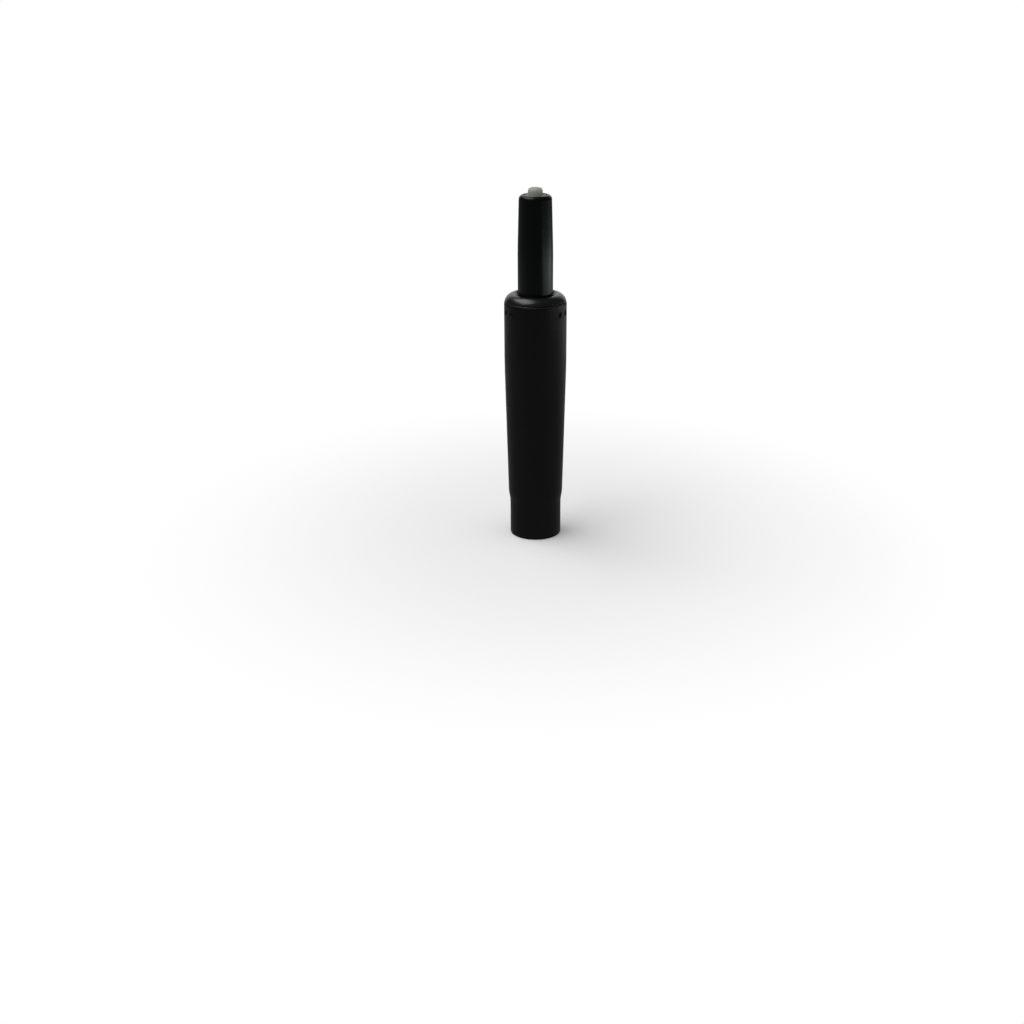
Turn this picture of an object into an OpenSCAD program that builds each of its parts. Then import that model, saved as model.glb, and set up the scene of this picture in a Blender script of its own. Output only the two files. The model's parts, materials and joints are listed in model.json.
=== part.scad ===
// Chair gas lift: a tapered steel column with a ball bearing in its foot, and in it a gas spring.
// The spring's pressure tube slides up out of a guide bush, and a button in its top opens the valve.
// Millimetres, +Z up, origin at the centre of the column's lower rim, drawn fully lowered.

/* [Outer column] */
// Outer diameter of the straight band
column_od = 50; // [46:0.5:54]
// Wall of the column
column_wall = 1.6; // [1.2:0.1:2.2]
// Half angle of both self-locking tapers, in degrees
taper_angle = 1.4378; // [1:0.0001:2]
// Length of the taper that sits in the chair base
base_taper_len = 110; // [90:1:125]
// Length of the straight band above the taper
band_len = 49.2; // [40:0.1:70]
// Length of the plain tail below the taper
tail_len = 30; // [24:1:40]
// Length of the swage between the tail and the taper
swage_len = 6; // [3:0.5:10]
// Radial step from the small end of the taper down to the tail
tail_step = 1.2; // [0.5:0.1:2]
// Outer edge radius of the tail
tail_edge_r = 0.8; // [0.3:0.1:1.5]
// Width of the inward lip at the foot
foot_lip_w = 4; // [3:0.5:5]
// Radius of the rolled upper edge
roll_r = 11; // [8:0.5:14]
// Angle through which the upper edge is rolled in
roll_angle = 18; // [12:1:30]

/* [Stake dents] */
// Angle between the two dents of a pair
dent_pitch = 21; // [18:1:30]
// Angle of the side pairs in front of the X axis
dent_front = 29; // [0:1:45]
// Distance of the dents below the rolled edge
dent_drop = 4.9; // [2.8:0.1:9]
// Radius of the punch
dent_r = 2.4; // [1.5:0.1:3]
// Depth of a dent
dent_depth = 1.3; // [0.6:0.1:1.6]
// Wall left under a dent
dent_wall = 1.1; // [0.8:0.1:1.4]

/* [Guide bush] */
// Length of the bush
bush_len = 64; // [50:1:75]
// Radius of the head's round top, which carries on the curve of the rolled edge
bush_dome_r = 7.7; // [6:0.1:9]
// Width of the seam between the rolled edge and the head
seam_w = 0.3; // [0.2:0.05:0.6]
// Wall of the inner sleeve
bush_wall = 3; // [2:0.1:5]
// Height of the lower land
bush_land = 8; // [4:0.5:12]
// Height of the solid head below the dents
bush_skirt = 6; // [3:0.5:10]
// Number of ribs between the lands
bush_ribs = 8; // [6:1:12]
// Width of a rib
bush_rib_w = 2.4; // [1.6:0.1:4]
// Lead-in at the mouth of the bore
bush_chamfer = 2.6; // [1:0.1:3.2]

/* [Foot bearing] */
// Sheet thickness of the bottom cup
cup_wall = 2.5; // [1.8:0.1:3.5]
// Height of the room under the cup for the clip
clip_room = 8; // [7:0.5:12]
// Corner radius of the cup
cup_corner = 1.5; // [0.5:0.1:2.4]
// Ball diameter
ball_d = 4; // [3:0.1:5]
// Number of balls
ball_count = 10; // [8:1:12]
// Cage material left between two pockets
cage_web = 1.2; // [0.8:0.1:2]
// Cage material inside and outside the pockets
cage_rim = 1; // [0.6:0.1:1.6]
// Thickness of the cage
cage_t = 1.6; // [1:0.1:2]
// Thickness of a race
race_t = 1.8; // [1.4:0.1:3]
// Depth of the groove in a race
race_groove = 0.5; // [0.3:0.05:0.8]
// Race material outside the groove
race_margin = 1.6; // [1:0.1:3]
// Thickness of the thrust washer
thrust_t = 2; // [1.2:0.1:3]
// Height of the rubber buffer
buffer_len = 18; // [12:0.5:24]
// Rubber around the rod in the buffer
buffer_wall = 6.8; // [4:0.1:8]
// Depth of the groove round the buffer
buffer_groove = 1.6; // [0.8:0.1:2.5]

/* [Piston rod] */
// Travel of the seat
stroke = 100; // [60:1:115]
// Rod diameter
rod_d = 10; // [8:0.5:12]
// Step from the rod down to its tail, on the radius
rod_step = 1; // [0.6:0.1:1.5]
// Depth of the clip groove
clip_groove = 1; // [0.6:0.1:1.5]
// Thickness of the retaining clip
clip_t = 1.2; // [0.8:0.1:1.6]
// Radial width of the retaining clip's ring
clip_w = 2.8; // [2:0.1:3.5]
// Thickness of the clip's washer
clip_washer_t = 1.5; // [1:0.1:2]
// Radial width of the clip's washer
clip_washer_w = 4.5; // [3:0.1:5.5]
// Length of the rod below the clip
rod_nose = 2; // [1:0.1:2.4]
// Radius of the lathe centre in the rod's end
rod_centre_r = 1.5; // [0.8:0.1:2]
// Radius of the spigot that carries the piston
spigot_r = 3.5; // [2.5:0.1:3.8]
// Length of the piston
piston_len = 12; // [8:0.5:16]
// Section diameter of the piston's seal ring
piston_ring_section = 2.4; // [1.6:0.1:3]
// Thickness of a piston washer
piston_washer_t = 1.5; // [1:0.1:2.5]
// Radial width of a piston washer
piston_washer_w = 3.4; // [2.5:0.1:4.5]
// Radial overhang of the rivet head
rivet_w = 1.6; // [1:0.1:2]
// Height of the rivet head
rivet_h = 2; // [1.2:0.1:3]

/* [Gas spring] */
// Outer diameter of the pressure tube
tube_od = 28; // [27:0.5:30]
// Wall of the pressure tube
tube_wall = 1.5; // [1.2:0.1:1.8]
// Length of tube that shows above the bush
tube_shown = 77.4; // [60:0.1:120]
// Length of the taper that carries the seat plate
seat_taper_len = 40; // [30:1:50]
// Radius of the rolled rim
rim_r = 3.2; // [2.4:0.1:3.6]
// Angle through which the rim is curled
rim_angle = 100; // [80:1:110]
// Edge radius at the lower end of the tube
tube_edge_r = 2; // [1:0.1:3]
// Width of the inward lip at the lower end
tube_lip_w = 3; // [2:0.1:4]
// Outer diameter of the inner tube
inner_od = 21.4; // [20:0.1:22.4]
// Wall of the inner tube
inner_wall = 1; // [0.7:0.1:1.4]
// Thickness of the end washer
end_washer_t = 2; // [1:0.1:3]
// Length of the rod guide
guide_len = 12; // [8:0.5:18]
// Height of the rod seal
seal_len = 6; // [4:0.5:9]
// Wall of the seal's lips
seal_lip_wall = 1.6; // [1:0.1:2.2]
// Depth of the hollow between the seal's lips
seal_lip_depth = 3; // [1:0.1:3.5]
// Thickness of the seal retainer
retainer_t = 3; // [2:0.1:5]
// Thickness of the centring ring's base
centring_t = 3; // [2:0.1:5]
// Height of the centring ring's collar
centring_collar = 4; // [2:0.5:8]
// Wall of the centring ring's collar
centring_wall = 2; // [1.2:0.1:3]
// Number of gas slots in the centring ring
slot_count = 6; // [3:1:8]
// Width of a gas slot
slot_w = 2.5; // [1.5:0.1:3]
// Depth of a gas slot
slot_depth = 1.5; // [0.8:0.1:1.8]

/* [Release valve] */
// Travel of the button
press_travel = 4; // [2:0.5:5]
// Diameter of the button
button_d = 11.5; // [10:0.1:13]
// Height of the button above the rim
button_rise = 5.4; // [5:0.1:10]
// Edge radius of the button's top
button_edge_r = 2.5; // [0.5:0.1:3]
// Radial width of the flange that keeps the button in
button_flange_w = 1.2; // [0.8:0.1:1.6]
// Thickness of that flange
button_flange_t = 1.5; // [1:0.1:2.5]
// Length of pin in the button
pin_socket = 6; // [3:0.5:8]
// Diameter of the valve pin
pin_d = 4; // [3:0.1:5]
// Depth of the valve cap's face below the rim
cap_drop = 0.1; // [0:0.1:1]
// Chamfer of that face
cap_chamfer = 0.4; // [0.2:0.1:0.6]
// Depth of the valve cap below the curl
cap_skirt = 1.8; // [1.2:0.1:3]
// Length of the valve body's head below its recess
valve_head = 13; // [12.5:0.5:18]
// Length of the valve body's waist, where the ports open
valve_waist = 16; // [10:0.5:22]
// Length of the spigot in the inner tube
valve_spigot = 6; // [4:0.5:10]
// Section diameter of the valve body's seal rings
ring_section = 2.4; // [1.8:0.1:2.8]
// Distance between those rings
ring_pitch = 6; // [4:0.5:7]
// Section diameter of the pin's seals
pin_seal_section = 1.8; // [1.4:0.1:2.2]
// Length of the spacer between the pin's seals
spacer_len = 3; // [2:0.1:4]
// Length of the gland above them
gland_len = 4; // [3:0.1:6]
// Gap round the pin below the seals, for the gas
port_gap = 0.8; // [0.5:0.1:1.2]
// Diameter of a gas port
port_d = 2.5; // [1.5:0.1:4]
// Number of gas ports
port_count = 4; // [2:1:6]
// Height of the poppet's head
poppet_h = 3; // [2:0.1:5]
// Section diameter of the poppet's seal
poppet_section = 1.6; // [1.2:0.1:2]

/* [Clearances] */
// Radial clearance where one piece turns or slides on another
running_gap = 0.05; // [0.02:0.01:0.09]
// Radial gap of a piece that is pushed into a bore and stays there
fit_gap = 0.1; // [0.05:0.01:0.15]
// Gap between a ball and its groove
ball_gap = 0.1; // [0.05:0.01:0.2]
// Gap round a ball in its cage pocket
pocket_gap = 0.15; // [0.1:0.01:0.3]
// Gap at the end stops and between faces that turn
stop_gap = 0.3; // [0.1:0.05:0.5]
// Gap between a loose ring or washer and what it goes round
loose_gap = 0.4; // [0.2:0.05:0.8]

/* [Hidden] */
$fn = 96;
ARC_STEPS = 12;

// Slope of the tapers, on the radius
slope = tan(taper_angle);

// Column, from the foot upwards
column_r = column_od / 2;
column_in_r = column_r - column_wall;
cone_r = column_r - base_taper_len * slope;
tail_r = cone_r - tail_step;
tail_in_r = tail_r - column_wall;
foot_lip_r = tail_in_r - foot_lip_w;
cone_z0 = tail_len + swage_len;
cone_z1 = cone_z0 + base_taper_len;
roll_z = cone_z1 + band_len;
roll_c = [column_r - roll_r, roll_z];

// Dents, a pair on each side and one at the back, and the bumps that they raise inside
dent_pairs = [-dent_front, 90, 180 + dent_front];
dent_z = roll_z - dent_drop;
dent_c = column_r + dent_r - dent_depth;
bump_r = dent_r + dent_wall;
bump_half = sqrt(pow(bump_r, 2) - pow(dent_c - column_in_r, 2));

// Pressure tube and its bush
tube_r = tube_od / 2;
tube_in_r = tube_r - tube_wall;
bush_bore_r = tube_r + running_gap;
bush_sleeve_r = bush_bore_r + bush_wall;
bush_land_r = column_in_r - fit_gap;
lip_in_r = roll_r - column_wall - fit_gap;
seam_c = roll_c + seam_w * [-sin(roll_angle), cos(roll_angle)];
dome_c = seam_c + (roll_r - bush_dome_r) * [cos(roll_angle), sin(roll_angle)];
crest_r = bush_bore_r + bush_chamfer;
dome_end = acos((crest_r - dome_c[0]) / bush_dome_r);
crest_z = dome_c[1] + bush_dome_r * sin(dome_end);
bush_z = crest_z - bush_len;
bush_low_r = column_in_at(bush_z) - fit_gap;
groove_r = dent_c - bump_r - fit_gap;
groove_half = bump_half + fit_gap;
head_z = dent_z - groove_half - bush_skirt;

// Ball bearing in the foot
rod_r = rod_d / 2;
rod_tail_r = rod_r - rod_step;
ball_r = ball_d / 2;
ball_circle_r = ball_count * (ball_d + 2 * pocket_gap + cage_web) / (2 * PI);
ball_drop = ball_r - race_groove;
groove_ball_r = ball_r + ball_gap;
groove_w = sqrt(pow(groove_ball_r, 2) - pow(ball_drop, 2));
race_r = ball_circle_r + groove_w + race_margin;
race_bore_r = rod_tail_r + loose_gap;
cup_r = race_r + cup_corner;
recess_r = cup_r - cup_wall;
seat_z = clip_room + cup_wall;
ball_z = seat_z + race_t + ball_drop;
upper_race_z = ball_z + ball_drop;
thrust_z = upper_race_z + race_t;
shoulder_z = thrust_z + thrust_t;
buffer_z = shoulder_z + buffer_len;
buffer_bore_r = rod_r + fit_gap;
buffer_r = buffer_bore_r + buffer_wall;

// Clip and washer under the cup
clip_washer_z = clip_room - stop_gap - clip_washer_t;
clip_z = clip_washer_z - clip_t;
rod_end_z = clip_z - rod_nose;
clip_in_r = rod_tail_r - clip_groove;
clip_lugs = [75, 180, 285];

// Stack in the lower end of the pressure tube
tube_z = buffer_z + stop_gap;
end_washer_z = tube_z + tube_wall;
guide_z = end_washer_z + end_washer_t;
seal_z = guide_z + guide_len;
retainer_z = seal_z + seal_len;
centring_z = retainer_z + retainer_t;
inner_z = centring_z + centring_t;
piston_stop_z = inner_z + centring_collar;
pack_r = tube_in_r - fit_gap;
inner_r = inner_od / 2;
inner_in_r = inner_r - inner_wall;

// Piston on the upper end of the rod
washer_z = piston_stop_z + stroke + stop_gap;
piston_z = washer_z + piston_washer_t;
top_washer_z = piston_z + piston_len;
rivet_z = top_washer_z + piston_washer_t;
piston_r = inner_in_r - fit_gap;
piston_ring_r = inner_in_r - running_gap - piston_ring_section / 2;
piston_ring_z = piston_z + piston_len / 2;

// Rim of the pressure tube, and the valve that hangs in it
tube_top_z = crest_z + tube_shown;
rim_z = tube_top_z - rim_r;
seat_taper_z = rim_z - seat_taper_len;
rim_c = [tube_at(rim_z) - rim_r, rim_z];
mouth_r = rim_c[0] + rim_r * cos(max(rim_angle, 90));
cap_r = mouth_r - loose_gap;
cap_z = rim_z - cap_skirt;
button_r = button_d / 2;
cap_bore_r = button_r + running_gap;
flange_r = button_r + button_flange_w;
flange_z = cap_z - fit_gap - button_flange_t;
recess_z = flange_z - press_travel - stop_gap;
valve_recess_r = flange_r + loose_gap;
valve_r = tube_in_at(cap_z) - fit_gap;
waist_z = recess_z - valve_head;
inner_top_z = waist_z - valve_waist;
valve_z = inner_top_z - valve_spigot;
ring_z0 = waist_z + ring_section;
ring_z1 = ring_z0 + ring_pitch;

// Pin, its seals and the poppet
pin_r = pin_d / 2;
pin_seal_r = pin_r + running_gap + pin_seal_section / 2;
chamber_r = pin_seal_r + pin_seal_section / 2 + running_gap;
gland_z = recess_z - gland_len;
upper_seal_z = gland_z - pin_seal_section / 2 - running_gap;
spacer_z = upper_seal_z - pin_seal_section / 2 - running_gap - spacer_len;
lower_seal_z = spacer_z - pin_seal_section / 2 - running_gap;
chamber_z = lower_seal_z - pin_seal_section / 2 - running_gap;
port_z = waist_z - valve_waist / 2;
pin_bore_r = pin_r + port_gap;
poppet_ring_r = pin_r + running_gap + poppet_section / 2;
poppet_ring_z = valve_z - running_gap - poppet_section / 2;
poppet_z = poppet_ring_z - poppet_section / 2 - running_gap;
poppet_r = poppet_ring_r + poppet_section / 2;

// Radius of the column's outside, and of its inside, at a height
function column_at(z) =
    z < tail_len ? tail_r
    : z < cone_z0 ? tail_r + tail_step * (z - tail_len) / swage_len
    : z < cone_z1 ? cone_r + (z - cone_z0) * slope
    : column_r;
function column_in_at(z) = column_at(z) - column_wall;

// Radius of the pressure tube's outside, and of its inside, at a height
function tube_at(z) = tube_r - max(0, z - seat_taper_z) * slope;
function tube_in_at(z) = tube_at(z) - tube_wall;

// Points of an arc round c, from angle a0 to angle a1
function arc(c, r, a0, a1) = [
    for (i = [0:ARC_STEPS])
        let (a = a0 + (a1 - a0) * i / ARC_STEPS)
            c + r * [cos(a), sin(a)]
];

// Body turned from an outline of radius and height
module turned(outline) {
    rotate_extrude()
        polygon(outline);
}

// Plain ring between two radii and two heights
module ring(r_in, r_out, z0, z1) {
    rotate_extrude()
        translate([r_in, z0])
            square([r_out - r_in, z1 - z0]);
}

// Ring of round section
module round_ring(r, section, z) {
    rotate_extrude()
        translate([r, z])
            circle(d = section, $fn = 32);
}

// Thrust race with its ball groove facing the ball circle
module race(bore_r, z) {
    difference() {
        ring(bore_r, race_r, z, z + race_t);
        round_ring(ball_circle_r, 2 * groove_ball_r, ball_z);
    }
}

// Balls of the punch at the stake dents
module dent_balls(r) {
    for (middle = dent_pairs, side = [-1, 1])
        rotate(middle + side * dent_pitch / 2)
            translate([dent_c, 0, dent_z])
                sphere(r);
}

module column_tube() {
    outside = concat(
        [[foot_lip_r, 0]],
        arc([tail_r - tail_edge_r, tail_edge_r], tail_edge_r, -90, 0),
        [[tail_r, tail_len], [cone_r, cone_z0], [column_r, cone_z1]],
        arc(roll_c, roll_r, 0, roll_angle)
    );
    inside = concat(
        arc(roll_c, roll_r - column_wall, roll_angle, 0),
        [[column_in_r, cone_z1], [cone_r - column_wall, cone_z0], [tail_in_r, tail_len]],
        [[tail_in_r, column_wall], [foot_lip_r, column_wall]]
    );
    color("#17181a")
        difference() {
            union() {
                turned(concat(outside, inside));
                intersection() {
                    dent_balls(bump_r);
                    cylinder(r = column_r - column_wall / 2, h = roll_z);
                }
            }
            dent_balls(dent_r);
        }
}

module guide_bush() {
    head = concat(
        [[bush_bore_r, head_z], [bush_land_r, head_z]],
        [[bush_land_r, dent_z - groove_half], [groove_r, dent_z - groove_half]],
        [[groove_r, dent_z + groove_half], [bush_land_r, dent_z + groove_half]],
        arc(roll_c, lip_in_r, 0, roll_angle + asin(seam_w / lip_in_r)),
        arc(dome_c, bush_dome_r, roll_angle, dome_end),
        [[bush_bore_r, crest_z - bush_chamfer]]
    );
    joined_z = head_z + bush_skirt / 2;
    color("#1d1e20")
        union() {
            turned(head);
            ring(bush_bore_r, bush_sleeve_r, bush_z, joined_z);
            ring(bush_bore_r, bush_low_r, bush_z, bush_z + bush_land);
            intersection() {
                ring(bush_bore_r, bush_low_r, bush_z, joined_z);
                for (i = [0:bush_ribs - 1])
                    rotate(i * 360 / bush_ribs)
                        translate([bush_sleeve_r - bush_wall / 2, -bush_rib_w / 2, bush_z])
                            cube([bush_low_r, bush_rib_w, joined_z - bush_z]);
            }
        }
}

module bottom_cup() {
    flange_z1 = column_wall + cup_wall;
    color("#8d9095")
        turned(concat(
            [[rod_tail_r + running_gap, clip_room], [recess_r, clip_room], [recess_r, column_wall]],
            [[tail_in_r - fit_gap, column_wall], [tail_in_r - fit_gap, flange_z1], [cup_r, flange_z1]],
            arc([cup_r - cup_corner, seat_z - cup_corner], cup_corner, 0, 90),
            [[rod_tail_r + running_gap, seat_z]]
        ));
}

module lower_race() {
    color("#a9adb2")
        race(race_bore_r, seat_z);
}

module ball_cage() {
    color("#b58a3c")
        difference() {
            ring(
                ball_circle_r - ball_r - cage_rim,
                ball_circle_r + ball_r + cage_rim,
                ball_z - cage_t / 2,
                ball_z + cage_t / 2
            );
            for (i = [0:ball_count - 1])
                rotate(i * 360 / ball_count)
                    translate([ball_circle_r, 0, ball_z - cage_t])
                        cylinder(r = ball_r + pocket_gap, h = 2 * cage_t);
        }
}

module bearing_balls() {
    color("#d5d8dc")
        for (i = [0:ball_count - 1])
            rotate(i * 360 / ball_count)
                translate([ball_circle_r, 0, ball_z])
                    sphere(ball_r);
}

module upper_race() {
    color("#a9adb2")
        race(rod_tail_r + fit_gap, upper_race_z);
}

module thrust_washer() {
    color("#9a9da2")
        ring(rod_tail_r + fit_gap, race_r, thrust_z, shoulder_z);
}

module rubber_buffer() {
    groove_c = [buffer_r, shoulder_z + buffer_len / 2];
    color("#242424")
        difference() {
            ring(buffer_bore_r, buffer_r, shoulder_z, buffer_z);
            round_ring(groove_c[0], 2 * buffer_groove, groove_c[1]);
        }
}

module piston_rod() {
    color("#c3c7cc")
        turned(concat(
            [[0, rod_end_z + rod_centre_r], [rod_centre_r, rod_end_z], [clip_in_r, rod_end_z]],
            [[rod_tail_r, rod_end_z + clip_groove], [rod_tail_r, clip_z - fit_gap]],
            [[clip_in_r, clip_z - fit_gap], [clip_in_r, clip_washer_z + fit_gap]],
            [[rod_tail_r, clip_washer_z + fit_gap], [rod_tail_r, shoulder_z]],
            [[rod_r, shoulder_z], [rod_r, washer_z], [spigot_r, washer_z]],
            [[spigot_r, rivet_z], [spigot_r + rivet_w, rivet_z]],
            [[spigot_r, rivet_z + rivet_h], [0, rivet_z + rivet_h]]
        ));
}

module clip_washer() {
    color("#b4b7bb")
        ring(
            rod_tail_r + fit_gap,
            rod_tail_r + fit_gap + clip_washer_w,
            clip_washer_z,
            clip_washer_z + clip_washer_t
        );
}

// Spring clip pushed on from the side, with three lugs that reach into the rod's groove
module retaining_clip() {
    ring_in_r = rod_tail_r + loose_gap;
    lug_in_r = clip_in_r + running_gap;
    mouth_w = 2 * lug_in_r;
    lug_w = clip_in_r;
    color("#7f8388")
        translate([0, 0, clip_z])
            linear_extrude(clip_t)
                union() {
                    difference() {
                        circle(ring_in_r + clip_w);
                        circle(ring_in_r);
                        translate([0, -mouth_w / 2])
                            square([ring_in_r + 2 * clip_w, mouth_w]);
                    }
                    intersection() {
                        difference() {
                            circle(ring_in_r + clip_w / 2);
                            circle(lug_in_r);
                        }
                        for (a = clip_lugs)
                            rotate(a)
                                translate([0, -lug_w / 2])
                                    square([ring_in_r + clip_w, lug_w]);
                    }
                }
}

module lower_piston_washer() {
    color("#9a9da2")
        ring(spigot_r + fit_gap, spigot_r + piston_washer_w, washer_z, piston_z);
}

module piston() {
    groove_r_in = piston_ring_r - piston_ring_section / 2 - fit_gap;
    groove_half_h = piston_ring_section / 2 + fit_gap;
    color("#d9d2bd")
        difference() {
            ring(spigot_r + fit_gap, piston_r, piston_z, top_washer_z);
            ring(groove_r_in, 2 * piston_r, piston_ring_z - groove_half_h, piston_ring_z + groove_half_h);
        }
}

module piston_seal() {
    color("#1b1b1b")
        round_ring(piston_ring_r, piston_ring_section, piston_ring_z);
}

module upper_piston_washer() {
    color("#9a9da2")
        ring(spigot_r + fit_gap, spigot_r + piston_washer_w, top_washer_z, rivet_z);
}

module pressure_tube() {
    foot_r = tube_in_r - tube_lip_w;
    outside = concat(
        [[foot_r, tube_z]],
        arc([tube_r - tube_edge_r, tube_z + tube_edge_r], tube_edge_r, -90, 0),
        [[tube_r, seat_taper_z]],
        arc(rim_c, rim_r, 0, rim_angle)
    );
    inside = concat(
        arc(rim_c, rim_r - tube_wall, rim_angle, 0),
        [[tube_in_r, seat_taper_z], [tube_in_r, end_washer_z], [foot_r, end_washer_z]]
    );
    color("#0f1011")
        turned(concat(outside, inside));
}

module end_washer() {
    color("#9a9da2")
        ring(rod_r + loose_gap, pack_r, end_washer_z, guide_z);
}

module rod_guide() {
    color("#e4dfd0")
        ring(rod_r + running_gap, pack_r, guide_z, seal_z);
}

module rod_seal() {
    seal_in_r = rod_r + running_gap;
    color("#20201f")
        turned([
            [seal_in_r, seal_z], [pack_r, seal_z], [pack_r, retainer_z],
            [pack_r - seal_lip_wall, retainer_z],
            [(seal_in_r + pack_r) / 2, retainer_z - seal_lip_depth],
            [seal_in_r + seal_lip_wall, retainer_z], [seal_in_r, retainer_z]
        ]);
}

module seal_retainer() {
    color("#e4dfd0")
        ring(rod_r + loose_gap, pack_r, retainer_z, centring_z);
}

module centring_ring() {
    collar_r = inner_in_r - fit_gap;
    color("#e4dfd0")
        difference() {
            union() {
                ring(rod_r + loose_gap, pack_r, centring_z, inner_z);
                ring(collar_r - centring_wall, collar_r, inner_z - slot_depth, piston_stop_z);
            }
            for (i = [0:slot_count - 1])
                rotate(i * 360 / slot_count)
                    translate([0, -slot_w / 2, inner_z - slot_depth])
                        cube([tube_r, slot_w, slot_depth]);
        }
}

module inner_tube() {
    color("#b9bdc2")
        ring(inner_in_r, inner_r, inner_z, inner_top_z);
}

module valve_body() {
    spigot_out_r = inner_in_r - fit_gap;
    color("#c6a24e")
        difference() {
            turned([
                [pin_bore_r, valve_z], [spigot_out_r, valve_z], [spigot_out_r, inner_top_z],
                [inner_r, inner_top_z], [inner_r, waist_z], [valve_r, waist_z], [valve_r, cap_z],
                [valve_recess_r, cap_z], [valve_recess_r, recess_z], [chamber_r, recess_z],
                [chamber_r, chamber_z], [pin_bore_r, chamber_z]
            ]);
            for (z = [ring_z0, ring_z1])
                ring(
                    valve_ring_r(z) - ring_section / 2 - fit_gap,
                    2 * valve_r,
                    z - ring_section / 2 - fit_gap,
                    z + ring_section / 2 + fit_gap
                );
            for (i = [0:port_count - 1])
                rotate(i * 360 / port_count)
                    translate([0, 0, port_z])
                        rotate([0, 90, 0])
                            cylinder(d = port_d, h = tube_r);
        }
}

// Radius of a seal ring that reaches the pressure tube's wall at a height
function valve_ring_r(z) = tube_in_at(z + ring_section / 2) - running_gap - ring_section / 2;

module lower_valve_ring() {
    color("#1b1b1b")
        round_ring(valve_ring_r(ring_z0), ring_section, ring_z0);
}

module upper_valve_ring() {
    color("#1b1b1b")
        round_ring(valve_ring_r(ring_z1), ring_section, ring_z1);
}

module lower_pin_seal() {
    color("#1b1b1b")
        round_ring(pin_seal_r, pin_seal_section, lower_seal_z);
}

module seal_spacer() {
    color("#e4dfd0")
        ring(pin_r + running_gap, chamber_r - running_gap, spacer_z, spacer_z + spacer_len);
}

module upper_pin_seal() {
    color("#1b1b1b")
        round_ring(pin_seal_r, pin_seal_section, upper_seal_z);
}

module seal_gland() {
    color("#c6a24e")
        ring(pin_r + running_gap, chamber_r - running_gap, gland_z, recess_z);
}

module valve_cap() {
    cap_top_z = tube_top_z - cap_drop;
    under_curl_r = rim_r - tube_wall - fit_gap;
    color("#a4a6a0")
        turned(concat(
            [[cap_bore_r, cap_z], [valve_r, cap_z]],
            arc(rim_c, under_curl_r, 0, 90),
            [[cap_r, rim_z + under_curl_r], [cap_r, cap_top_z - cap_chamfer]],
            [[cap_r - cap_chamfer, cap_top_z], [cap_bore_r, cap_top_z]]
        ));
}

module release_button() {
    button_top_z = tube_top_z + button_rise;
    color("#b9bab2")
        turned(concat(
            [[pin_r + running_gap, flange_z], [flange_r, flange_z], [flange_r, flange_z + button_flange_t]],
            [[button_r, flange_z + button_flange_t]],
            arc([button_r - button_edge_r, button_top_z - button_edge_r], button_edge_r, 0, 90),
            [[0, button_top_z], [0, flange_z + pin_socket], [pin_r + running_gap, flange_z + pin_socket]]
        ));
}

module valve_pin() {
    color("#c9ccd0")
        turned([
            [0, poppet_z - poppet_h], [pin_r, poppet_z - poppet_h], [poppet_r, poppet_z - poppet_h / 2],
            [poppet_r, poppet_z], [pin_r, poppet_z], [pin_r, flange_z + pin_socket - running_gap],
            [0, flange_z + pin_socket - running_gap]
        ]);
}

module poppet_seal() {
    color("#1b1b1b")
        round_ring(poppet_ring_r, poppet_section, poppet_ring_z);
}

column_tube();
guide_bush();
bottom_cup();
lower_race();
ball_cage();
bearing_balls();
upper_race();
thrust_washer();
rubber_buffer();
piston_rod();
clip_washer();
retaining_clip();
lower_piston_washer();
piston();
piston_seal();
upper_piston_washer();
pressure_tube();
end_washer();
rod_guide();
rod_seal();
seal_retainer();
centring_ring();
inner_tube();
valve_body();
lower_valve_ring();
upper_valve_ring();
lower_pin_seal();
seal_spacer();
upper_pin_seal();
seal_gland();
valve_cap();
release_button();
valve_pin();
poppet_seal();
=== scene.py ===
import json
import math

import bmesh
import bpy
from mathutils import Matrix, Vector


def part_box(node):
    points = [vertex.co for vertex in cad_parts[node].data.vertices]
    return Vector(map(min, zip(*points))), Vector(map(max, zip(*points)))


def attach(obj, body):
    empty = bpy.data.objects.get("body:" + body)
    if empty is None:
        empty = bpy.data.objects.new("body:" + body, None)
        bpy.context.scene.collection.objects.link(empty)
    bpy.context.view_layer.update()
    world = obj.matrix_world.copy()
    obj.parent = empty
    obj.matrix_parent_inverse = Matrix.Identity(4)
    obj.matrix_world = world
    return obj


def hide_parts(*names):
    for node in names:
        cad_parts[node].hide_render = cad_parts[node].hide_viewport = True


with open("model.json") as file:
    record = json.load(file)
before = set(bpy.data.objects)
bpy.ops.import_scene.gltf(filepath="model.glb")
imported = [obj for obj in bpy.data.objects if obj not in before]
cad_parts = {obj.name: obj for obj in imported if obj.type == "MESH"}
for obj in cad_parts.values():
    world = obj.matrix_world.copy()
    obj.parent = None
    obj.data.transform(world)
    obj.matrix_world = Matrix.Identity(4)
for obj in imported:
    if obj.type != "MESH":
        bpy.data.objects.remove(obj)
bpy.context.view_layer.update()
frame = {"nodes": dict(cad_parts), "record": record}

MM = 0.001


def reach(node):
    """Largest radius, lowest height and highest height of a CAD node, in millimetres."""
    low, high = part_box(node)
    return high.x / MM, low.z / MM, high.z / MM


# Column sizes in millimetres: heights from the foot rim, radii from the axis
BAND_R, _, LIP_TOP = reach("column_tube")
WALL = 1.6
TAPER = math.tan(math.radians(1.4378))
TAIL_TOP = 30.0
CONE_FOOT = 36.0
CONE_TOP = 146.0
CONE_R = BAND_R - (CONE_TOP - CONE_FOOT) * TAPER
TAIL_R = CONE_R - 1.2
FOOT_LIP_R = TAIL_R - WALL - 4.0

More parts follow.
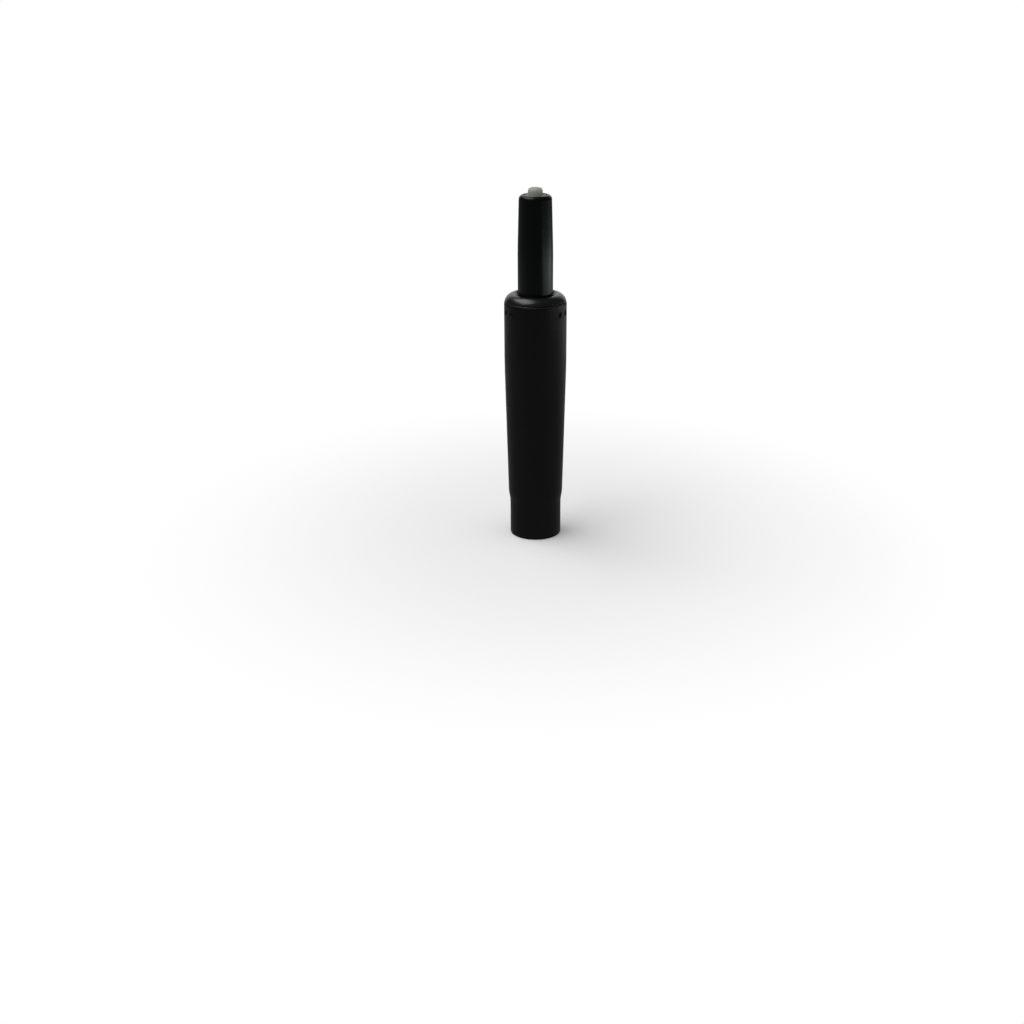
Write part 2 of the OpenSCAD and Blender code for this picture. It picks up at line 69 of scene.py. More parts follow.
# Rolled edge of the column, and the bush head that carries its curve on
ROLL_R = 11.0
ROLL_ANGLE = 18.0
BAND_TOP = LIP_TOP - ROLL_R * math.sin(math.radians(ROLL_ANGLE))
ROLL_CENTRE = (BAND_R - ROLL_R, BAND_TOP)
SEAM = 0.3
DOME_R = 7.7
LEAD_IN = 2.6

# Stake dents
DENT_HEIGHT = BAND_TOP - 4.9
DENT_ANGLES = [middle + side for middle in (-29, 90, 209) for side in (-10.5, 10.5)]
PUNCH_R = 2.4
PUNCH_CENTRE_R = BAND_R + PUNCH_R - 1.3
DENT_WALL = 1.1
DENT_REACH = 4.5
DENT_LIP, DENT_LIP_R, DENT_LIP_WIDTH = 0.13, 2.55, 0.42

# Gas spring tube
TUBE_R, TUBE_FOOT, TUBE_TOP = reach("pressure_tube")
TUBE_WALL = 1.5
RIM_R = 3.2
RIM_HEIGHT = TUBE_TOP - RIM_R
SEAT_TAPER_FOOT = RIM_HEIGHT - 40.0
RIM_CENTRE = (TUBE_R - (RIM_HEIGHT - SEAT_TAPER_FOOT) * TAPER - RIM_R, RIM_HEIGHT)

# Rod and button
ROD_R = 5.0
RIVET_R, ROD_END, ROD_TOP = reach("piston_rod")
ROD_TAIL_R = ROD_R - 1.0
ROD_GROOVE_R = ROD_TAIL_R - 1.0
BUTTON_R = 5.75
FLANGE_R, FLANGE_FOOT, BUTTON_TOP = reach("release_button")
SKIRT_R, CAP_FOOT, CAP_FACE = reach("valve_cap")

# Gaps between pieces that slide or turn, and between pieces that are pushed together
RUNNING_GAP = 0.05
FIT_GAP = 0.1


# Mesh shapes


def on_arc(centre, radius, angle, corner=0):
    """Outline point at an angle on an arc, in degrees, and the rounding it gets."""
    a = math.radians(angle)
    return (centre[0] + radius * math.cos(a), centre[1] + radius * math.sin(a), corner)


def arc(centre, radius, start, end, steps=16):
    """Outline points of an arc from one angle to another."""
    return [on_arc(centre, radius, start + (end - start) * i / steps) for i in range(steps + 1)]


def level_rows(radius, low, high, pitch):
    """Outline points up or down a straight wall, close enough together to take a dent."""
    rows = round(abs(high - low) / pitch)
    return [(radius, low + (high - low) * i / rows, 0) for i in range(rows + 1)]


def turned(outline, steps=192, longest=9.0):
    """Shell spun round the axis from a closed outline of radius, height and corner rounding."""
    shell = bmesh.new()
    points = [shell.verts.new((r * MM, 0, z * MM)) for r, z, _ in outline]
    for a, b in zip(points, points[1:] + points[:1]):
        if a.co.x > 0 or b.co.x > 0:
            shell.edges.new((a, b))
    for point, (_, _, corner) in zip(points, outline):
        if corner:
            bmesh.ops.bevel(
                shell, geom=[point], offset=corner * MM, offset_type="OFFSET", segments=5,
                profile=0.5, affect="VERTICES", material=-1,
            )
    for edge in shell.edges[:]:
        cuts = int(edge.calc_length() / (longest * MM))
        if cuts:
            bmesh.ops.subdivide_edges(shell, edges=[edge], cuts=cuts)
    about_axis = {"cent": (0, 0, 0), "axis": (0, 0, 1)}
    slices = 8
    slice_angle = math.tau / slices
    section = shell.verts[:] + shell.edges[:]
    bmesh.ops.spin(shell, geom=section, angle=slice_angle, steps=steps // slices, **about_axis)
    first_slice = shell.verts[:] + shell.edges[:] + shell.faces[:]
    bmesh.ops.spin(
        shell, geom=first_slice, angle=slice_angle * (slices - 1), steps=slices - 1,
        use_duplicate=True, **about_axis,
    )
    return closed(shell)


def closed(shell):
    """Merges doubled points and turns the faces outwards."""
    bmesh.ops.remove_doubles(shell, verts=shell.verts, dist=0.001 * MM)
    bmesh.ops.recalc_face_normals(shell, faces=shell.faces)
    return shell


def punch_dents(shell):
    """Presses the stake dents into the column's wall, with the lip that a punch throws up."""
    for vert in shell.verts:
        height = vert.co.z / MM - DENT_HEIGHT
        if abs(height) > DENT_REACH:
            continue
        radius = vert.co.xy.length / MM
        outside = radius > BAND_R - WALL / 2
        punch = PUNCH_R if outside else PUNCH_R + DENT_WALL
        turn = math.degrees(math.atan2(vert.co.y, vert.co.x))
        for angle in DENT_ANGLES:
            off = math.radians((turn - angle + 180) % 360 - 180) * radius
            away = math.hypot(off, height)
            if away > DENT_REACH:
                continue
            pressed = PUNCH_CENTRE_R - math.sqrt(max(punch ** 2 - away ** 2, 0))
            depth = max(radius - pressed, 0) if away < punch else 0
            lip = DENT_LIP * math.exp(-((away - DENT_LIP_R) / DENT_LIP_WIDTH) ** 2) if outside else 0
            vert.co.xy *= (radius - depth + lip) / radius


def boxed(shell, low, high, turn=0):
    """Adds a block between two corners, in millimetres, turned about the axis."""
    size = Vector(high) - Vector(low)
    place = Matrix.Rotation(math.radians(turn), 4, "Z") @ Matrix.Translation((Vector(low) + size / 2) * MM)
    bmesh.ops.create_cube(shell, size=1, matrix=place @ Matrix.Diagonal((*(size * MM), 1)))


def soften(shell, width, angle=30):
    """Rounds the edges that are sharper than an angle."""
    sharp = [e for e in shell.edges if len(e.link_faces) == 2 and e.calc_face_angle() > math.radians(angle)]
    bmesh.ops.bevel(
        shell, geom=sharp, offset=width * MM, offset_type="OFFSET", segments=3,
        profile=0.5, affect="EDGES", material=-1, clamp_overlap=True,
    )
    return shell


def meshed(name, shell, finish):
    """Mesh of a shell, with its material."""
    mesh = bpy.data.meshes.new(name)
    shell.to_mesh(mesh)
    shell.free()
    mesh.materials.append(finish)
    return mesh


def placed(name, data):
    """New object in the scene for a mesh, a lamp or a camera."""
    made = bpy.data.objects.new(name, data)
    bpy.context.scene.collection.objects.link(made)
    return made


def fitted(node, shell, body, finish):
    """Makes a shell the piece that stands for a node of the same name."""
    for face in shell.faces:
        face.smooth = True
    piece = placed(node + "_shown", meshed(node, shell, finish))
    even = piece.modifiers.new("even_shading", "WEIGHTED_NORMAL")
    even.keep_sharp = True
    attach(piece, body)
    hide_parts(node)


# Shader values


class Value:
    """A socket in a node tree. Arithmetic on it adds Math nodes."""

    def __init__(self, finish, socket):
        self.finish = finish
        self.socket = socket

    def maths(self, operation, *others):
        return self.finish.add("ShaderNodeMath", {"operation": operation}, dict(enumerate(others)))

    def __add__(self, other):
        return self.maths("ADD", self, other)

    def __sub__(self, other):
        return self.maths("SUBTRACT", self, other)

    def __mul__(self, other):
        return self.maths("MULTIPLY", self, other)

    def __pow__(self, other):
        return self.maths("POWER", self, other)

    __radd__ = __add__


class Finish:
    """A node tree being written, with the ways a surface varies."""

    def __init__(self, tree):
        self.tree = tree
        tree.nodes.clear()

    def add(self, kind, settings, inputs, output=0):
        """Adds a node: its settings first, then the values or links of its sockets."""
        node = self.tree.nodes.new(kind)
        for name, setting in settings.items():
            setattr(node, name, setting)
        for name, value in inputs.items():
            if isinstance(value, Value):
                self.tree.links.new(value.socket, node.inputs[name])
            else:
                node.inputs[name].default_value = value
        return Value(self, node.outputs[output]) if node.outputs else None

    def place(self):
        return self.add("ShaderNodeTexCoord", {}, {}, "Object")

    def axis(self, name):
        return self.add("ShaderNodeSeparateXYZ", {}, {"Vector": self.place()}, name)

    def radius(self):
        x, y = self.axis("X"), self.axis("Y")
        return (x * x + y * y) ** 0.5

    def stretched(self, across, along):
        """Object coordinates scaled across and along the axis."""
        return self.add(
            "ShaderNodeVectorMath", {"operation": "MULTIPLY"}, {0: self.place(), 1: (across, across, along)}
        )

    def lathe(self, across, along):
        """Coordinates that are the same all round the axis, as a tool leaves its lines."""
        return self.add(
            "ShaderNodeCombineXYZ", {}, {"X": self.radius() * across, "Y": 0.0, "Z": self.axis("Z") * along}
        )

    def grain(self, scale, detail, vector=None):
        inputs = {"Vector": vector or self.place(), "Scale": scale, "Detail": detail}
        return self.add("ShaderNodeTexNoise", {}, inputs, "Fac")

    def flakes(self, scale):
        """A shade for each cell of a crystal pattern."""
        cells = self.add("ShaderNodeTexVoronoi", {}, {"Vector": self.place(), "Scale": scale}, "Color")
        return self.add("ShaderNodeRGBToBW", {}, {"Color": cells})

    def ease(self, value, low, high, start=0.0, end=1.0):
        """Goes smoothly from start to end as a value goes from low to high."""
        return self.add(
            "ShaderNodeMapRange", {"interpolation_type": "SMOOTHSTEP"},
            {"Value": value, "From Min": low, "From Max": high, "To Min": start, "To Max": end},
        )

    def tint(self, factor, low, high):
        """Mixes two colours. Their sockets go by number, because others have the same names."""
        return self.add("ShaderNodeMix", {"data_type": "RGBA"}, {"Factor": factor, 6: low, 7: high}, 2)

    def relief(self, height, depth_mm, strength, under=None):
        """Fine bumps of a depth, on top of others if there are any."""
        inputs = {"Height": height, "Strength": strength, "Distance": depth_mm * MM}
        if under:
            inputs["Normal"] = under
        return self.add("ShaderNodeBump", {}, inputs, "Normal")

    def surface(self, inputs):
        """Ends a material with its shader."""
        shader = self.add("ShaderNodeBsdfPrincipled", {}, inputs)
        self.add("ShaderNodeOutputMaterial", {}, {"Surface": shader})


def rgb(r, g, b):
    return (r, g, b, 1.0)


def material(name):
    """New material, and the finish to write it with."""
    made = bpy.data.materials.new(name)
    made.use_nodes = True
    return made, Finish(made.node_tree)


# Finishes


def powder_coat():
    made, coat = material("satin_powder_coat")
    cloud = coat.grain(38, 3.0)
    peel = coat.grain(750, 1.0)
    speck = coat.grain(3800, 0.0)
    rub = coat.ease(coat.grain(1.0, 4.0, coat.stretched(260, 14)), 0.56, 0.72)
    dust = coat.ease(coat.grain(1500, 1.0), 0.72, 0.8)
    lip = coat.ease(coat.axis("Z"), (LIP_TOP - 1.3) * MM, (LIP_TOP - 0.6) * MM)
    burnished = lip * coat.ease(coat.grain(300, 3.0), 0.3, 0.6, 0.6, 1.0)
    black = coat.tint(cloud, rgb(0.0035, 0.0035, 0.0035), rgb(0.0055, 0.0055, 0.0055))
    dusty = coat.tint(dust, black, rgb(0.014, 0.014, 0.014))
    coat.surface({
        "Base Color": coat.tint(burnished, dusty, rgb(0.06, 0.06, 0.06)),
        "Roughness": coat.ease(cloud, 0.3, 0.7, 0.28, 0.36) + rub * 0.05 + speck * 0.03,
        "Metallic": burnished,
        "Normal": coat.relief(speck, 0.004, 0.6, coat.relief(peel, 0.03, 0.5)),
        "Specular IOR Level": 0.125,
    })
    return made


def tube_lacquer():
    made, coat = material("gloss_black_lacquer")
    cloud = coat.grain(30, 2.0)
    lines = coat.grain(1.0, 3.0, coat.lathe(300, 1900))
    slid = coat.ease(coat.grain(1.0, 3.0, coat.stretched(900, 9)), 0.5, 0.75)
    coat.surface({
        "Base Color": coat.tint(cloud, rgb(0.0013, 0.0018, 0.0016), rgb(0.0022, 0.0028, 0.0026)),
        "Roughness": 0.22 + cloud * 0.06 + lines * 0.04 + slid * 0.05,
        "Normal": coat.relief(lines, 0.006, 0.5),
        "Specular IOR Level": 0.25,
        "Specular Tint": rgb(0.78, 1.0, 0.93),
    })
    return made


def bush_plastic():
    made, moulded = material("moulded_black_plastic")
    cloud = moulded.grain(60, 2.0)
    spark = moulded.grain(2600, 2.0)
    moulded.surface({
        "Base Color": moulded.tint(cloud, rgb(0.0026, 0.0036, 0.0032), rgb(0.0044, 0.0058, 0.0053)),
        "Roughness": 0.27 + spark * 0.07,
        "Normal": moulded.relief(spark, 0.012, 0.5),
        "Specular IOR Level": 0.6,
    })
    return made


def cap_metal():
    made, blasted = material("blasted_grey_metal")
    pits = blasted.grain(4200, 2.0)
    cloud = blasted.grain(220, 2.0)
    lines = blasted.grain(1.0, 2.0, blasted.lathe(5200, 800))
    blasted.surface({
        "Base Color": blasted.tint(cloud, rgb(0.15, 0.152, 0.139), rgb(0.22, 0.223, 0.206)),
        "Roughness": 0.5 + pits * 0.15,
        "Metallic": 0.35,
        "Normal": blasted.relief(lines, 0.01, 0.4, blasted.relief(pits, 0.012, 0.5)),
    })
    return made


def button_plastic():
    made, moulded = material("light_grey_plastic")
    cloud = moulded.grain(260, 3.0)
    spark = moulded.grain(3600, 2.0)
    scuff = moulded.ease(moulded.grain(1.0, 4.0, moulded.stretched(900, 300)), 0.58, 0.74)
    # Darker towards the button's foot
    darker_foot = moulded.ease(moulded.axis("Z"), (BUTTON_TOP - 5.5) * MM, (BUTTON_TOP - 2) * MM, 0.2, 0.0)
    base_tone = moulded.tint(cloud, rgb(0.265, 0.268, 0.243), rgb(0.305, 0.309, 0.281))
    worn = moulded.tint(scuff * 0.3, base_tone, rgb(0.38, 0.38, 0.35))
    moulded.surface({
        "Base Color": moulded.tint(darker_foot * cloud, worn, rgb(0.12, 0.12, 0.105)),
        "Roughness": 0.44 + spark * 0.12,
        "Normal": moulded.relief(spark, 0.01, 0.5),
        "Specular IOR Level": 0.3,
    })
    return made


def plated_steel():
    made, zinc = material("zinc_plate")
    cloud = zinc.grain(160, 3.0)
    zinc.surface({
        "Base Color": zinc.tint(cloud, rgb(0.46, 0.48, 0.5), rgb(0.62, 0.62, 0.6)),
        "Roughness": 0.3 + zinc.flakes(900) * 0.12 + cloud * 0.08,
        "Metallic": 1.0,
        "Normal": zinc.relief(zinc.grain(2400, 2.0), 0.008, 0.4),
    })
    return made


def bearing_steel():
    made, steel = material("polished_bearing_steel")
    lines = steel.grain(1.0, 2.0, steel.lathe(6500, 2400))
    cloud = steel.grain(300, 2.0)
    steel.surface({
        "Base Color": steel.tint(cloud, rgb(0.66, 0.67, 0.69), rgb(0.76, 0.77, 0.79)),
        "Roughness": 0.1 + lines * 0.12,
        "Metallic": 1.0,
        "Normal": steel.relief(lines, 0.003, 0.4),
    })
    return made


def cage_brass():
    made, brass = material("pressed_brass")
    cloud = brass.grain(280, 4.0)
    tarnish = brass.ease(cloud, 0.48, 0.72)
    brass.surface({
        "Base Color": brass.tint(tarnish, rgb(0.63, 0.43, 0.16), rgb(0.4, 0.25, 0.09)),
        "Roughness": 0.26 + tarnish * 0.22,
        "Metallic": 1.0,
        "Normal": brass.relief(brass.grain(1800, 2.0), 0.008, 0.4),
    })
    return made


def rod_steel():
    made, steel = material("ground_steel")
    lines = steel.grain(1.0, 3.0, steel.lathe(2600, 5200))
    cloud = steel.grain(120, 2.0)
    steel.surface({
        "Base Color": steel.tint(cloud, rgb(0.55, 0.56, 0.58), rgb(0.66, 0.67, 0.69)),
        "Roughness": 0.16 + lines * 0.2,
        "Metallic": 1.0,
        "Normal": steel.relief(lines, 0.006, 0.5),
    })
    return made


def spring_steel():
    made, blued = material("blued_spring_steel")
    cloud = blued.grain(420, 3.0)
    blued.surface({
        "Base Color": blued.tint(cloud, rgb(0.12, 0.13, 0.17), rgb(0.27, 0.26, 0.25)),
        "Roughness": 0.3 + cloud * 0.16,
        "Metallic": 1.0,
        "Normal": blued.relief(blued.grain(2600, 2.0), 0.006, 0.4),
    })
    return made


def rubber():
    made, moulded = material("moulded_rubber")
    dust = moulded.grain(240, 4.0)
    grey = moulded.ease(dust, 0.45, 0.8)
    moulded.surface({
        "Base Color": moulded.tint(grey, rgb(0.012, 0.012, 0.012), rgb(0.045, 0.044, 0.042)),
        "Roughness": 0.62 + dust * 0.2,
        "Normal": moulded.relief(moulded.grain(2200, 2.0), 0.015, 0.5),
        "Specular IOR Level": 0.3,
    })
    return made


def guide_plastic():
    made, natural = material("natural_plastic")
    cloud = natural.grain(150, 3.0)
    lines = natural.grain(1.0, 2.0, natural.lathe(2200, 2200))
    natural.surface({
        "Base Color": natural.tint(cloud, rgb(0.66, 0.62, 0.51), rgb(0.78, 0.74, 0.64)),
        "Roughness": 0.4 + lines * 0.12,
        "Normal": natural.relief(lines, 0.01, 0.4),
        "Subsurface Weight": 0.15,
        "Subsurface Radius": (0.002, 0.0016, 0.001),
    })
    return made


def drawn_aluminium():
    made, drawn = material("drawn_aluminium")
    lines = drawn.grain(1.0, 3.0, drawn.stretched(5200, 40))
    cloud = drawn.grain(70, 2.0)
    drawn.surface({
        "Base Color": drawn.tint(cloud, rgb(0.62, 0.63, 0.65), rgb(0.73, 0.74, 0.76)),
        "Roughness": 0.24 + lines * 0.2,
        "Metallic": 1.0,
        "Normal": drawn.relief(lines, 0.006, 0.5),
    })
    return made


def turned_brass():
    made, brass = material("turned_brass")
    lines = brass.grain(1.0, 2.0, brass.lathe(4200, 4200))
    cloud = brass.grain(180, 3.0)
    brass.surface({
        "Base Color": brass.tint(cloud, rgb(0.6, 0.43, 0.17), rgb(0.7, 0.53, 0.24)),
        "Roughness": 0.2 + lines * 0.16,
        "Metallic": 1.0,
        "Normal": brass.relief(lines, 0.01, 0.5),
    })
    return made


finishes = {
    "column_paint": powder_coat(),
    "bush_plastic": bush_plastic(),
    "tube_paint": tube_lacquer(),
    "plated_steel": plated_steel(),
    "bearing_steel": bearing_steel(),
    "cage_brass": cage_brass(),
    "rod_steel": rod_steel(),
    "spring_steel": spring_steel(),
    "rubber": rubber(),
    "guide_plastic": guide_plastic(),
    "inner_aluminium": drawn_aluminium(),
    "valve_brass": turned_brass(),
    "cap_metal": cap_metal(),
    "button_plastic": button_plastic(),
}


# Pieces. Arcs end a few degrees short of a corner that gets rounded, to leave it room.


def column_tube():
    inner = ROLL_R - WALL
    rows_foot = DENT_HEIGHT - 5.0
    outline = (
        [(FOOT_LIP_R, 0, 0.3), (TAIL_R, 0, 0.8), (TAIL_R, TAIL_TOP, 2.6), (CONE_R, CONE_FOOT, 2.6)]
        + [(BAND_R, CONE_TOP, 6)]
        + level_rows(BAND_R, rows_foot, BAND_TOP, 0.32)
        + arc(ROLL_CENTRE, ROLL_R, 1, ROLL_ANGLE - 3)
        + [on_arc(ROLL_CENTRE, ROLL_R, ROLL_ANGLE, 1.45), on_arc(ROLL_CENTRE, inner, ROLL_ANGLE, 0.3)]
        + arc(ROLL_CENTRE, inner, ROLL_ANGLE - 3, 1)
        + level_rows(BAND_R - WALL, BAND_TOP, rows_foot, 0.4)
        + [(BAND_R - WALL, CONE_TOP, 6), (CONE_R - WALL, CONE_FOOT, 2.6), (TAIL_R - WALL, TAIL_TOP, 2.6)]
        + [(TAIL_R - WALL, WALL, 0.6), (FOOT_LIP_R, WALL, 0.3)]
    )
    shell = turned(outline, steps=480)
    punch_dents(shell)
    return shell


def guide_bush():
    bore = TUBE_R + RUNNING_GAP
    sleeve = bore + 3.0
    under_lip = ROLL_R - WALL - FIT_GAP
    lip_end = ROLL_ANGLE + math.degrees(math.asin(SEAM / under_lip))
    land = BAND_R - WALL - FIT_GAP
    groove = land - 0.8
    groove_half, skirt, length, land_height = 2.33, 6.0, 64.0, 8.0
    groove_foot, groove_top = DENT_HEIGHT - groove_half, DENT_HEIGHT + groove_half
    head_foot = groove_foot - skirt
    lean = math.radians(ROLL_ANGLE)
    inset = ROLL_R - DOME_R
    dome_centre = (
        ROLL_CENTRE[0] - SEAM * math.sin(lean) + inset * math.cos(lean),
        ROLL_CENTRE[1] + SEAM * math.cos(lean) + inset * math.sin(lean),
    )
    dome_end = math.degrees(math.acos((bore + LEAD_IN - dome_centre[0]) / DOME_R))
    crest = on_arc(dome_centre, DOME_R, dome_end, 0.8)
    foot = crest[1] - length
    land_top = foot + land_height
    low_land = CONE_R + (foot - CONE_FOOT) * TAPER - WALL - FIT_GAP
    outline = (
        [(bore, foot, 0.4), (low_land, foot, 0.6), (low_land, land_top, 0.4), (sleeve, land_top, 0.6)]
        + [(sleeve, head_foot, 0.6), (land, head_foot, 0.5)]
        + [(land, groove_foot, 0.2), (groove, groove_foot, 0.2)]
        + [(groove, groove_top, 0.2), (land, groove_top, 0.2)]
        + arc(ROLL_CENTRE, under_lip, 0, lip_end)
        + [on_arc(dome_centre, DOME_R, ROLL_ANGLE, 0.25)]
        + arc(dome_centre, DOME_R, ROLL_ANGLE + 4, dome_end - 8, 32)
        + [crest, (bore, crest[1] - LEAD_IN, 0.3)]
    )
    shell = turned(outline, steps=256)
    ribs, half_rib, sunk = 8, 1.2, 0.5
    for i in range(ribs):
        inner_foot = (sleeve - sunk, -half_rib, land_top - sunk)
        boxed(shell, inner_foot, (low_land, half_rib, head_foot + sunk), i * 360 / ribs)
    return shell


def pressure_tube():
    lip = TUBE_R - TUBE_WALL - 3.0
    edge = 2.0
    curl = 100
    outline = (
        [(lip, TUBE_FOOT, 0.3)]
        + arc((TUBE_R - edge, TUBE_FOOT + edge), edge, -90, 0)
        + [(TUBE_R, SEAT_TAPER_FOOT, 4)]
        + arc(RIM_CENTRE, RIM_R, 0, curl - 8, 32)
        + [on_arc(RIM_CENTRE, RIM_R, curl, 0.25), on_arc(RIM_CENTRE, RIM_R - TUBE_WALL, curl, 0.25)]
        + arc(RIM_CENTRE, RIM_R - TUBE_WALL, curl - 15, 0)
        + [(TUBE_R - TUBE_WALL, SEAT_TAPER_FOOT, 4), (TUBE_R - TUBE_WALL, TUBE_FOOT + TUBE_WALL, 0.5)]
        + [(lip, TUBE_FOOT + TUBE_WALL, 0.3)]
    )
    return turned(outline, steps=256)


def valve_cap():
    bore = BUTTON_R + RUNNING_GAP
    under_curl = RIM_R - TUBE_WALL - FIT_GAP
    boss, chamfer = 8.84, 0.4
    outline = (
        [(bore, CAP_FOOT, 0.2), (SKIRT_R, CAP_FOOT, 0.2)]
        + arc(RIM_CENTRE, under_curl, 0, 90)
        + [(boss, RIM_HEIGHT + under_curl, 0.15), (boss, CAP_FACE - chamfer, 0.12)]
        + [(boss - chamfer, CAP_FACE, 0.12), (bore, CAP_FACE, 0.25)]
    )
    return turned(outline)


def release_button():
    socket, socket_top = 2.05, FLANGE_FOOT + 6
    flange_top = CAP_FOOT - FIT_GAP
    edge = 2.5
    outline = (
        [(socket, FLANGE_FOOT, 0.15), (FLANGE_R, FLANGE_FOOT, 0.3), (FLANGE_R, flange_top, 0.25)]
        + [(BUTTON_R, flange_top, 0.15)]
        + arc((BUTTON_R - edge, BUTTON_TOP - edge), edge, 0, 90)
        + [(0, BUTTON_TOP, 0), (0, socket_top, 0), (socket, socket_top, 0.1)]
    )
    return turned(outline)


def bottom_cup():
    bore = ROD_TAIL_R + RUNNING_GAP
    sheet = 2.5
    recess, room = 10.82, 8.0
    cup, flange = recess + sheet, TAIL_R - WALL - FIT_GAP
    corner = 1.5
    outline = (
        [(bore, room, 0.25), (recess, room, 0.7), (recess, WALL, 0.9), (flange, WALL, 0.3)]
        + [(flange, WALL + sheet, 0.3), (cup, WALL + sheet, 0.7)]
        + arc((cup - corner, room + sheet - corner), corner, 0, 90)
        + [(bore, room + sheet, 0.3)]
    )
    return turned(outline)


def clip_washer():
    bore = ROD_TAIL_R + FIT_GAP
    rim, low, high = reach("clip_washer")
    return turned([(bore, low, 0.15), (rim, low, 0.3), (rim, high, 0.15), (bore, high, 0.3)])


def piston_rod():
    groove_foot, groove_top, shoulder = 4.9, 6.3, 19.1
    spigot, rivet_foot = 3.5, ROD_TOP - 2
    spigot_foot = rivet_foot - 15
    outline = [
        (0, ROD_END + 1.5, 0), (1.5, ROD_END, 0.1), (ROD_GROOVE_R, ROD_END, 0.15),
        (ROD_TAIL_R, ROD_END + 1, 0.2), (ROD_TAIL_R, groove_foot, 0.1),
        (ROD_GROOVE_R, groove_foot, 0), (ROD_GROOVE_R, groove_top, 0),
        (ROD_TAIL_R, groove_top, 0.1), (ROD_TAIL_R, shoulder, 0.15), (ROD_R, shoulder, 0.3),
        (ROD_R, spigot_foot, 0.2), (spigot, spigot_foot, 0.15), (spigot, rivet_foot, 0.1),
        (RIVET_R, rivet_foot, 0.2), (spigot, ROD_TOP, 0.5), (0, ROD_TOP, 0),
    ]
    return turned(outline)


def retaining_clip():
    shell = bmesh.new()
    inner, outer = 4.4, 7.2
    _, low, high = reach("retaining_clip")
    mouth = math.radians(38)
    start = Matrix.Rotation(mouth, 4, "Z")
    corners = [(inner, low), (outer, low), (outer, high), (inner, high)]
    section = shell.faces.new([shell.verts.new(start @ Vector((r * MM, 0, z * MM))) for r, z in corners])
    bmesh.ops.spin(
        shell, geom=section.verts[:] + section.edges[:] + [section], cent=(0, 0, 0), axis=(0, 0, 1),
        angle=math.tau - 2 * mouth, steps=96,
    )
    half_prong, sunk = 1.5, 1.2
    for turn in (75, 180, 285):
        tip = (ROD_GROOVE_R + FIT_GAP, -half_prong, low)
        boxed(shell, tip, (inner + sunk, half_prong, high), turn)
    return soften(closed(shell), 0.15)


PIECES = [
    ("column_tube", column_tube, "column", "column_paint"),
    ("guide_bush", guide_bush, "column", "bush_plastic"),
    ("bottom_cup", bottom_cup, "column", "plated_steel"),
    ("piston_rod", piston_rod, "rod", "rod_steel"),
    ("clip_washer", clip_washer, "rod", "plated_steel"),
    ("retaining_clip", retaining_clip, "rod", "spring_steel"),
    ("pressure_tube", pressure_tube, "tube", "tube_paint"),
    ("valve_cap", valve_cap, "tube", "cap_metal"),
    ("release_button", release_button, "release", "button_plastic"),
]
for node, shape, body, slot in PIECES:
    fitted(node, shape(), body, finishes[slot])

for part in frame["record"]["subparts"]:
    for held in frame["nodes"][part["node"]].material_slots:
        held.material = finishes[part["material_slot"]]


# Stage, light and camera

# Light that the room gives from all round, where white is 1
ROOM_LIGHT = 0.55
# Middle of a painted pool of light that the floor gives off only in reflections, to the right of the lift
PAINTED_POOL_CENTRE = (0.85, 0.4, 0)
# Point on the lift that the lamps are aimed at
LAMP_TARGET = (0, 0, 0.2)
# Where the photograph was taken from
PHOTO_PLACE = (0, -1.114, 0.4668)


def rays(finish):
    """1 for a ray from the camera, and 1 for a ray that shows the room in a reflection."""
    camera, gloss, through = [
        finish.add("ShaderNodeLightPath", {}, {}, name)
        for name in ("Is Camera Ray", "Is Glossy Ray", "Is Transmission Ray")
    ]
    return camera, gloss.maths("MAXIMUM", gloss, through)


def pale_floor():
    ground = bmesh.new()
    below_rim = Matrix.Translation((0, 0, -0.1 * MM))
    bmesh.ops.create_grid(ground, x_segments=1, y_segments=1, size=6, matrix=below_rim)
    made, paint = material("pale_floor_paint")
    camera, shine = rays(paint)
    away = paint.radius()
    from_painted_pool = paint.add(
        "ShaderNodeVectorMath", {"operation": "DISTANCE"}, {0: paint.place(), 1: PAINTED_POOL_CENTRE}, "Value"
    )
    # Painted light: in reflections the floor glows with a painted pool of light to the right and a painted
    # room glow, dimmer in front and brighter behind
    painted_strip_pool = paint.ease(from_painted_pool, 0.2, 0.65, 0.4, 0.0)
    painted_room_glow = paint.ease(paint.axis("Y"), -0.75, 0.05, 0.16, 0.36) * paint.ease(away, 0.8, 1.1, 1.0, 0.35)
    backdrop_and_painted_glow = camera + shine * (painted_strip_pool + painted_room_glow) * paint.ease(away, 0.3, 0.6, 0.7, 1.0)
    lit = paint.add("ShaderNodeBsdfDiffuse", {}, {"Color": rgb(0.9, 0.9, 0.9)})
    white = paint.add("ShaderNodeEmission", {}, {"Color": backdrop_and_painted_glow, "Strength": 1.0})
    faded = camera * paint.ease(away, 0.08, 0.36) + shine
    both = paint.add("ShaderNodeMixShader", {}, {0: faded, 1: lit, 2: white})
    paint.add("ShaderNodeOutputMaterial", {}, {"Surface": both})
    floor = placed("pale_floor", meshed("pale_floor", ground, made))


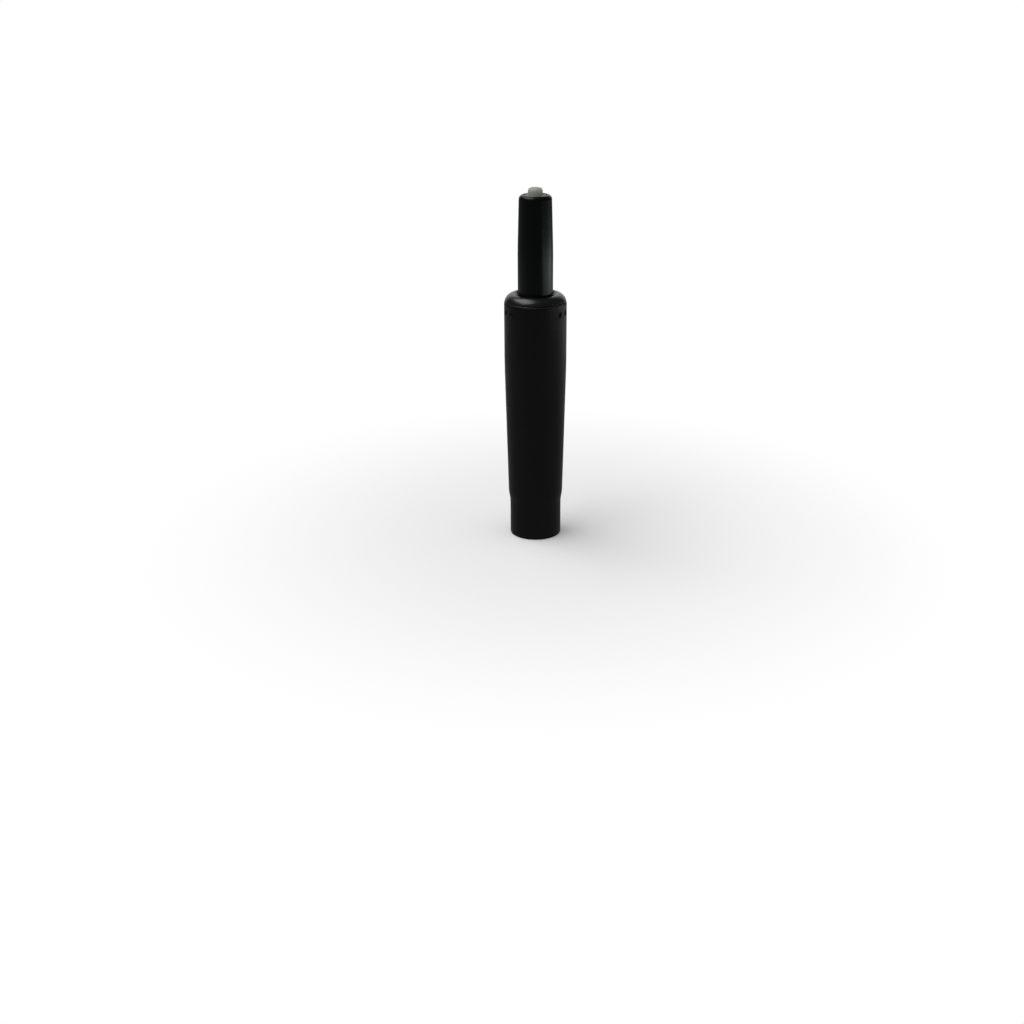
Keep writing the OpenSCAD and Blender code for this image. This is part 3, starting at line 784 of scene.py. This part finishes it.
def studio_air():
    world = bpy.data.worlds.new("studio_air")
    bpy.context.scene.world = world
    world.use_nodes = True
    air = Finish(world.node_tree)
    camera, shine = rays(air)
    direction = air.add("ShaderNodeTexCoord", {}, {}, "Generated")
    backward = air.add("ShaderNodeSeparateXYZ", {}, {"Vector": direction}, "Y")
    wall = air.ease(backward, 0.79, 0.84, 0.06, 0.92)
    level = ROOM_LIGHT + camera * (1 - ROOM_LIGHT) + shine * (wall - ROOM_LIGHT)
    sky = air.add("ShaderNodeBackground", {}, {"Color": level, "Strength": 1.0})
    air.add("ShaderNodeOutputWorld", {}, {"Surface": sky})


def softbox(name, place, width, height, brightness):
    """Rectangular lamp aimed at the lift. At brightness 1 it would show as plain white."""
    lamp = bpy.data.lights.new(name, "AREA")
    lamp.shape = "RECTANGLE"
    lamp.size = width
    lamp.size_y = height
    lamp.energy = brightness * width * height * math.pi
    holder = placed(name, lamp)
    holder.location = place
    aim = Vector(LAMP_TARGET) - Vector(place)
    holder.rotation_euler = aim.to_track_quat("-Z", "Y").to_euler()
    holder.visible_camera = False


def photo_camera():
    """Camera at the photograph's place, lens and tilt."""
    yaw, pitch, roll = math.radians(-1.02), math.radians(22.0), math.radians(-0.41)
    forward = Vector((math.sin(yaw) * math.cos(pitch), math.cos(yaw) * math.cos(pitch), -math.sin(pitch)))
    right = Vector((math.cos(yaw), -math.sin(yaw), 0))
    up = right.cross(forward)
    across = right * math.cos(roll) + up * math.sin(roll)
    upward = up * math.cos(roll) - right * math.sin(roll)
    lens = bpy.data.cameras.new("photo_camera")
    lens.sensor_width = 36
    lens.lens = 50.06
    camera = placed("photo_camera", lens)
    turn = Matrix((across, upward, -forward)).transposed().to_4x4()
    camera.matrix_world = Matrix.Translation(PHOTO_PLACE) @ turn
    bpy.context.scene.camera = camera


pale_floor()
studio_air()
softbox("top_softbox", place=(-0.45, 0.0, 1.12), width=1.1, height=0.66, brightness=3.1)
softbox("right_strip", place=(0.3, -0.04, 0.16), width=0.43, height=0.04, brightness=2.1)
photo_camera()
bpy.context.scene.view_settings.view_transform = "Standard"
